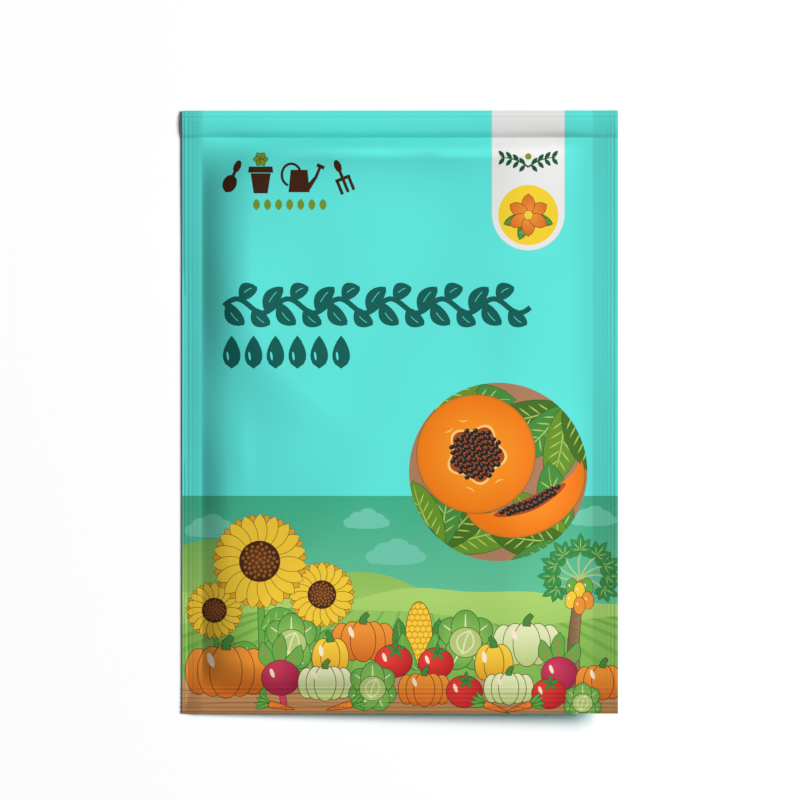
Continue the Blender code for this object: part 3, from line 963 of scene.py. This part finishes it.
# A wedge of papaya: an arc of skin below, flesh, and a row of seeds along the hollow top.
def papayaWedge(sheet, x, y, size, angle, clip):
    t = np.radians(np.linspace(187, 353, 26))
    outer = np.stack([np.cos(t), 0.78 * np.sin(t)], 1)
    inner = np.stack([np.cos(t[::-1]), 0.3 * np.sin(t[::-1]) + 0.03], 1)
    wedge = np.concatenate([outer, inner])
    sheet.lined(turned(wedge, angle, (x, y), size), "skin", "cavity", 0.12, clip)
    flesh = {"ink2": "fleshDeep", "start": (x, y), "radius": 0.8 * size}
    sheet.lay(turned(wedge * 0.955, angle, (x, y), size), "flesh", clip=clip, **flesh)
    hollow = [(-0.6, -0.22), (0, -0.2), (0.6, -0.22), (0.45, -0.34), (0, -0.42), (-0.45, -0.34)]
    sheet.lay(turned(flowing(hollow, True), angle, (x, y), size), "cavity", clip=clip)
    along = np.linspace(-0.48, 0.48, 11)
    upper = np.stack([along, -0.25 - 0.02 * np.cos(along * 9)], 1)
    lower = np.stack([along * 0.8, -0.33 - 0.02 * np.cos(along * 7)], 1)
    seedDots(sheet, turned(np.concatenate([lower, upper]), angle, (x, y), size), 0.05 * size, clip)


# The round window: broad leaves on dark ground, and the cut fruit on them.
def windowScene(sheet, x, y, radius):
    window = sheet.lay(oval(x, y, radius), "ground")
    hubs = ((-10.5, -14.5, 12, 5), (12.5, 12.5, 192, 5), (13.5, -13, 105, 4), (-12, 11.5, -60, 4))
    for number, (dx, dy, start, count) in enumerate(hubs):
        base = (x + dx, y + dy)
        for k in range(count):
            tip = turned([(15.5 - 1.5 * (k % 2), 0)], start + 34 * k, base)[0]
            ink = ("broad", "broadDeep", "leafDeep")[(k + number) % 3]
            veinedLeaf(sheet, base, tip, 6.4, ink, "broadVein", 0.8, 5, window)
    papayaWedge(sheet, x + 4.8, y - 2.6, 12.0, 24, window)
    papayaSlice(sheet, x - 4.2, y + 3.4, 11.2, window)


toolGrip = oval(0, 0.4, 0.13, 0.24)


# A hand tool, drawn upright in shares of its size and then turned.
def handTool(sheet, shapes, angle, x, y, size):
    for shape in shapes:
        sheet.lay(turned(finely(shape, 0.2), angle, (x, y), size), "tool")


def trowel(sheet, x, y, size):
    blade = leaf((0, 0.08), (0, -0.62), 0.5, 0, 0.5)
    handTool(sheet, (blade, ribbon([(0, 0.0), (0, 0.22)], 0.11), toolGrip), -24, x, y, size)


def handFork(sheet, x, y, size):
    neck = ribbon([(0, -0.05), (0, 0.2)], 0.11)
    crossbar = ribbon([(-0.28, -0.08), (0.28, -0.08)], 0.12)
    tines = [ribbon([(dx, -0.08), (dx, -0.6)], 0.11) for dx in (-0.22, 0, 0.22)]
    handTool(sheet, (neck, toolGrip, crossbar, *tines), 22, x, y, size)


# A pot with a rim and a small flower over it.
def flowerPot(sheet, x, y, size):
    body = [(-0.36, 0.12), (0.36, 0.12), (0.25, -0.6), (-0.25, -0.6)]
    rim = [(-0.45, 0.14), (0.45, 0.14), (0.42, 0.36), (-0.42, 0.36)]
    for shape in (body, rim):
        sheet.lay(finely(turned(shape, 0, (x, y), size)), "tool")
    petalRing(sheet, x, y + 0.62 * size, 0.02, 0.26 * size, 0.18 * size, 6, "olive", "tool")


# A can with a spout, a rose at its end, and a round handle.
def wateringCan(sheet, x, y, size):
    body = [(-0.34, 0.24), (0.26, 0.24), (0.34, -0.56), (-0.42, -0.56)]
    spout = ribbon([(0.26, -0.42), (0.56, -0.02), (0.72, 0.36)], [0.2, 0.11, 0.1])
    rose = ribbon([(0.6, 0.42), (0.86, 0.3)], 0.13)
    t = np.radians(np.linspace(20, 250, 14))
    handle = ribbon(np.stack([-0.32 + 0.34 * np.cos(t), 0.06 + 0.4 * np.sin(t)], 1), 0.09)
    for shape in (body, spout, rose, handle):
        sheet.lay(finely(turned(shape, 0, (x, y), size), 0.6), "tool")


# A vine that runs as middle + swing sin(x 2 pi / wave), with leaves up and down in turn.
def vineFrieze(sheet):
    vine = layout["frieze"]
    left, right, middle, swing = (vine[key] for key in ("left", "right", "middle", "swing"))
    pace = 2 * math.pi / vine["wave"]
    x = np.arange(left, right + 0.01, 0.7)
    y = middle + swing * np.sin((x - left) * pace)
    sheet.lay(ribbon(np.stack([x, y], 1), 1.0), "title")
    for number, px in enumerate(np.arange(left + 0.6, right - 3.0, vine["wave"] / 4)):
        py = middle + swing * math.sin((px - left) * pace)
        way = 1 if number % 2 else -1
        tip = (px + 3.3, middle + way * 3.6)
        sheet.lay(leaf((px, py), tip, 3.1, way * 0.6, 0.62, 12), "title")
        spine, _ = midrib((px, py), tip, way * 0.6, np.linspace(0.35, 0.75, 5))
        sheet.lay(ribbon(spine, 0.12), "turquoise")


# Bold decoration on the plain upper part: a running vine, a row of drops, and garden tools.
def upperOrnament(sheet):
    vineFrieze(sheet)
    drops = layout["drops"]
    for number in range(drops["count"]):
        px = drops["left"] + drops["step"] * number
        drop = leaf((px, drops["middle"] - 3.0), (px, drops["middle"] + 3.3), 3.3, 0, 0.62)
        drop[:, 0] += 0.12 * (drop[:, 0] - px) * (drops["middle"] - drop[:, 1])
        sheet.lay(drop, "title")
        sheet.lay(oval(px - 0.75, drops["middle"] - 0.6, 0.22, 0.85, 8), "turquoise")
    tools = layout["tools"]
    for px, tool in zip(tools["places"], (trowel, flowerPot, wateringCan, handFork)):
        tool(sheet, px, tools["middle"], tools["size"])
    kernels = layout["kernels"]
    for number in range(kernels["count"]):
        foot = (kernels["left"] + kernels["step"] * number, kernels["foot"])
        sheet.lay(leaf(foot, (foot[0], foot[1] + kernels["height"]), 1.35, 0, 0.6, 6), "olive")


# The white tab with a blossom on a yellow badge and a small sprig above it.
def tabAndBadge(sheet):
    tab = layout["tab"]
    middle, halfWidth, above = tab["middle"], tab["halfWidth"], 60
    turn = np.radians(np.linspace(180, 360, 34))
    end = np.stack([middle + halfWidth * np.cos(turn), tab["end"] + halfWidth * np.sin(turn)], 1)
    outline = np.concatenate([end, [(middle + halfWidth, above), (middle - halfWidth, above)]])
    sheet.lined(finely(outline, 1.2), "white", "tabEdge", 0.1)
    x, y, radius = layout["badge"]
    sheet.lay(oval(x, y, radius), "yolk")
    for angle in (200, 250, -20):
        tip = turned([(0.86 * radius, 0)], angle, (x, y))[0]
        veinedLeaf(sheet, (x, y), tip, 0.34 * radius, "leafDeep")
    shade = {"ink2": "pumpkinDeep", "start": (x, y), "radius": 0.75 * radius}
    petalRing(sheet, x, y, 0.1, 0.7 * radius, 0.42 * radius, 6, "pumpkin", first=30, **shade)
    sheet.lined(oval(x, y, 0.15 * radius), "petal", width=0.08)
    low = layout["sprigFoot"]
    for way in (-1, 1):
        stem, _ = midrib((x, low - 1.2), (x + way * 5.2, low + 0.6), way * 0.5, np.linspace(0, 1, 9))
        sheet.lay(ribbon(stem, np.linspace(0.36, 0.16, 9)), "sprig")
        for k in (1, 3, 5, 7):
            for lift in (-1, 1):
                sheet.lay(leaf(stem[k], stem[k] + (way * 1.15, lift * 1.35), 0.8, 0, 0.8, 6), "sprig")
    sheet.lay(oval(x, low + 0.8, 0.62), "olive")


# The lower band: fields under a green sky, sunflowers, a papaya tree and a row of harvest.
def fieldsAndHarvest(sheet):
    w, h = sachet["halfWidth"], sachet["halfHeight"]
    top = layout["bandTop"]
    sheet.lay(rectangle(-w - 1, -h - 1, w + 1, top, 2), "band", "bandLow", (0, top), (0, -38))
    for x, y, size in ((-36, -22.5, 2.3), (-6.5, -21.0, 2.0), (-1.0, -27.5, 2.6), (36.5, -20.5, 2.0)):
        cloud(sheet, x, y, size)
    mounds = ((-33, -46, 25, "mound"), (-8, -47, 19, "moundLight"), (12, -52, 19, "mound"))
    for x, y, size, ink in mounds:
        crest = 0.88 * size
        sheet.lay(oval(x, y, size, crest), ink, "farHill", (0, y + crest), (0, -42))
    hill(sheet, -34.6, ((1.2, 9, 0.4), (0.6, 4.2, 1.5)), "farHill", "nearHill", 14)
    near = hill(sheet, -38.6, ((1.5, 12, 2.6), (0.4, 5, 0.2)), "nearHill", "cropRow", 16)
    for k in range(-9, 12):
        line, _ = midrib((3 + k * 2.6, -36.5), (2 + k * 7.2, -54), 0.25 * k, np.linspace(0, 1, 9))
        sheet.lay(ribbon(line, np.linspace(0.25, 1.5, 9)), "cropRow", clip=near)
    hill(sheet, -50.6, ((0.5, 6, 0.3), (0.3, 2.6, 1.0)), "soil", "furrow", 8)
    x = np.arange(-43, 44, 1.5)
    for level in (-53.2, -55.4):
        sheet.lay(ribbon(np.stack([x, level + 0.35 * np.sin(x / 5 + level)], 1), 0.3), "furrow")
    sunflower(sheet, -35.2, -37.6, 5.4, (-34.5, -54))
    sunflower(sheet, -14.8, -34.6, 6.2, (-16.5, -54))
    sunflower(sheet, -26.6, -28.3, 9.0, (-26, -54))
    papayaTree(sheet, 34.2, -55, -31.5)
    harvest = (
        (cabbage, -20.6, -43.6, 5.0), (gourd, -7.0, -43.4, 5.6), (corn, 3.6, -42.2, 6.2),
        (cabbage, 12.4, -43.4, 5.4), (paleGourd, 24.0, -44.0, 6.0), (pepper, -13.2, -46.2, 4.6),
        (tomato, -1.2, -47.2, 3.5), (tomato, 6.8, -47.6, 3.3), (pepper, 17.8, -47.4, 4.8),
        (gourd, -33.0, -49.2, 7.2), (beet, 30.2, -49.6, 3.4), (beet, -22.6, -50.4, 3.6),
        (paleGourd, -14.2, -51.4, 4.8), (cabbage, -5.2, -52.2, 4.4), (gourd, 4.6, -52.6, 4.6),
        (tomato, 12.2, -53.0, 3.4), (paleGourd, 20.6, -52.4, 4.4), (gourd, 38.4, -51.2, 4.8),
        (tomato, 28.2, -53.4, 3.2), (cabbage, 34.6, -55.0, 3.4),
    )
    for draw, x, y, size in harvest:
        draw(sheet, x, y, size)
    for x, angle in ((-24.6, 78), (-9.4, -76), (16.2, 70), (24.6, -72)):
        carrot(sheet, x, -55.4, 2.9, angle)


# A panel's print, with nothing on it yet but the ground ink.
def plainPrint():
    sheet = Print()
    w, h = sachet["halfWidth"], sachet["halfHeight"]
    sheet.lay(rectangle(-w, -h, w, h), "turquoise")
    return sheet


# The front's print, from the lowest layer up.
def frontPrint():
    sheet = plainPrint()
    fieldsAndHarvest(sheet)
    windowScene(sheet, *layout["window"])
    upperOrnament(sheet)
    tabAndBadge(sheet)
    print("front print", len(sheet.outlines), "outlines")
    return sheet


laminate = filmMaterial("satinLaminate")
frontFilm = makeFilm("frontFilm", frontSkin, side=1, pitch=1.1, sheet=frontPrint())
frontFilm.data.materials.append(laminate)
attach(frontFilm, "root")
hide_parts("front_film")

backFilm = makeFilm("backFilm", backSkin, side=-1, pitch=1.4, sheet=plainPrint())
backFilm.data.materials.append(laminate)
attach(backFilm, "root")
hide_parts("back_film")


seedSet = {
    "length": 4.9,
    "width": 3.3,
    "bluntness": 0.3,
    "smallest": 0.86,  # the least seed's share of that size
    "spacing": 5.4,
    "rowShare": 0.866,  # distance of the rows, in spacings
    "margin": 3.0,  # kept between the grid and the seals' inner lines
    "keepIn": 3.2,  # how far in from the right and top seals the seeds' middles stay
    "clearance": 0.35,  # kept between a seed and a film
    "around": 2.4,  # how far out from a seed's middle the films are felt
    "shuffle": 11,
    "darkCoat": (0.016, 0.012, 0.01, 1),
    "paleCoat": (0.075, 0.05, 0.035, 1),
    "roughness": (0.55, 0.2),  # the least, and what the wrinkles add
    "wrinkles": 1400.0,
    "wrinkleBump": 0.5,
    "wrinkleHeight": 0.0003,  # metres
}


# Middles of the seeds, in one layer on a staggered grid between the films. A seed that would
# come too near a film is left out.
def seedPlaces():
    step, margin, around = (seedSet[key] for key in ("spacing", "margin", "around"))
    rowStep = step * seedSet["rowShare"]
    columns = np.arange(innerLeft + margin, innerRight - margin, step)
    rows = np.arange(innerBottom + margin, innerTop - margin, rowStep)
    x, y = (grid.ravel() for grid in np.meshgrid(columns, rows))
    x = x + (np.round((y - rows[0]) / rowStep) % 2) * step / 2
    felt = ((0, 0), (around, 0), (-around, 0), (0, around), (0, -around))
    roof = np.minimum.reduce([frontSkin(x + dx, y + dy) for dx, dy in felt]) - sachet["film"]
    ground = np.maximum.reduce([backSkin(x + dx, y + dy) for dx, dy in felt]) + sachet["film"]
    z = ground + seedSet["clearance"] + seedSet["width"] / 2
    fits = z + seedSet["width"] / 2 + seedSet["clearance"] < roof
    keepIn = seedSet["keepIn"]
    fits &= (np.abs(x) < innerRight - keepIn) & (np.abs(y) < innerTop - keepIn)
    return np.stack([x[fits], y[fits], z[fits]], 1)


# Each seed is an ellipsoid with a blunt end, turned its own way about the vertical.
def makeSeeds():
    builder = bmesh.new()
    bmesh.ops.create_icosphere(builder, subdivisions=2, radius=0.5)
    ball = np.array([v.co[:] for v in builder.verts])
    facets = np.array([[v.index for v in f.verts] for f in builder.faces])
    builder.free()
    ball[:, 1:] *= 1 - seedSet["bluntness"] * ball[:, :1]
    ball *= (seedSet["length"], seedSet["width"], seedSet["width"])
    places = seedPlaces()
    count = len(places)
    random = np.random.default_rng(seedSet["shuffle"])
    angle = random.uniform(0, 2 * math.pi, count)
    c, s, zero, one = np.cos(angle), np.sin(angle), np.zeros(count), np.ones(count)
    turn = np.array([[c, -s, zero], [s, c, zero], [zero, zero, one]]).transpose(2, 0, 1)
    size = random.uniform(seedSet["smallest"], 1.0, (count, 1, 1))
    vertices = np.einsum("nij,vj->nvi", turn, ball) * size + places[:, None, :]
    faces = facets[None] + (np.arange(count) * len(ball))[:, None, None]
    print("seeds", count)
    return meshObject("papayaSeeds", vertices.reshape(-1, 3), faces.reshape(-1, 3))


# Dark, dull, wrinkled seed coat.
def seedMaterial():
    finish = Finish("seedCoat")
    wrinkles = finish.noise(finish.add("ShaderNodeTexCoord", output="Object"), seedSet["wrinkles"], 3.0)
    colour = finish.mixed(wrinkles, seedSet["darkCoat"], seedSet["paleCoat"])
    bumpy = finish.relief(wrinkles, seedSet["wrinkleBump"], seedSet["wrinkleHeight"])
    least, more = seedSet["roughness"]
    finish.surface(Base_Color=colour, Roughness=least + wrinkles * more, Normal=bumpy)
    return finish.material


seeds = makeSeeds()
seeds.data.materials.append(seedMaterial())
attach(seeds, "root")
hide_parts("seed_fill")


studio = {
    "viewWidth": 151.65,  # millimetres across the picture at the seals' height
    "aim": (0.0, 2.27),  # millimetres
    "lens": 1000.0,  # millimetres, long enough for a nearly parallel view
    "world": 0.07,
    "lamps": {  # places and sizes in metres, powers in watts
        "key": {"place": (4.33, 1.38, 3.94), "size": 2.4, "power": 560.0},
        "overhead": {"place": (0.0, 0.0, 0.8), "size": 0.9, "power": 0.3},
    },
    "floorReach": 1.5,  # metres
    "floorShade": 0.93,
    "floorRoughness": 0.7,
}


# A square lamp that shines on the origin.
def areaLight(name, place, size, power):
    lamp = bpy.data.lights.new(name, "AREA")
    lamp.size, lamp.energy = size, power
    obj = bpy.data.objects.new(name, lamp)
    obj.location = place
    obj.rotation_euler = (-Vector(place)).to_track_quat("-Z", "Y").to_euler()
    bpy.context.scene.collection.objects.link(obj)


# A pale square under the packet.
def makeFloor():
    mesh = bpy.data.meshes.new("floor")
    reach, shade = studio["floorReach"], studio["floorShade"]
    corners = [(-reach, -reach, 0), (reach, -reach, 0), (reach, reach, 0), (-reach, reach, 0)]
    mesh.from_pydata(corners, [], [(0, 1, 2, 3)])
    floor = bpy.data.objects.new("floor", mesh)
    bpy.context.scene.collection.objects.link(floor)
    pale = Finish("paleFloor")
    pale.surface(Base_Color=(shade, shade, shade, 1), Roughness=studio["floorRoughness"])
    mesh.materials.append(pale.material)


# Dim white surroundings and the lamps.
def lightStudio():
    world = bpy.data.worlds.new("studio")
    world.use_nodes = True
    background = world.node_tree.nodes["Background"]
    background.inputs["Color"].default_value = (1, 1, 1, 1)
    background.inputs["Strength"].default_value = studio["world"]
    bpy.context.scene.world = world
    for name, lamp in studio["lamps"].items():
        areaLight(name, **lamp)
    bpy.context.scene.view_settings.view_transform = "Standard"


# Looks straight down from where the view width fills the picture.
def makeCamera():
    camera = bpy.data.cameras.new("camera")
    camera.lens = studio["lens"]
    camera.clip_start = 0.01
    distance = studio["lens"] / camera.sensor_width * studio["viewWidth"] * mm
    obj = bpy.data.objects.new("camera", camera)
    aimX, aimY = studio["aim"]
    obj.location = (aimX * mm, aimY * mm, sachet["sealHeight"] * mm + distance)
    bpy.context.scene.collection.objects.link(obj)
    bpy.context.scene.camera = obj
    print("camera", round(distance, 3), "m above the seals")


makeFloor()
lightStudio()
makeCamera()
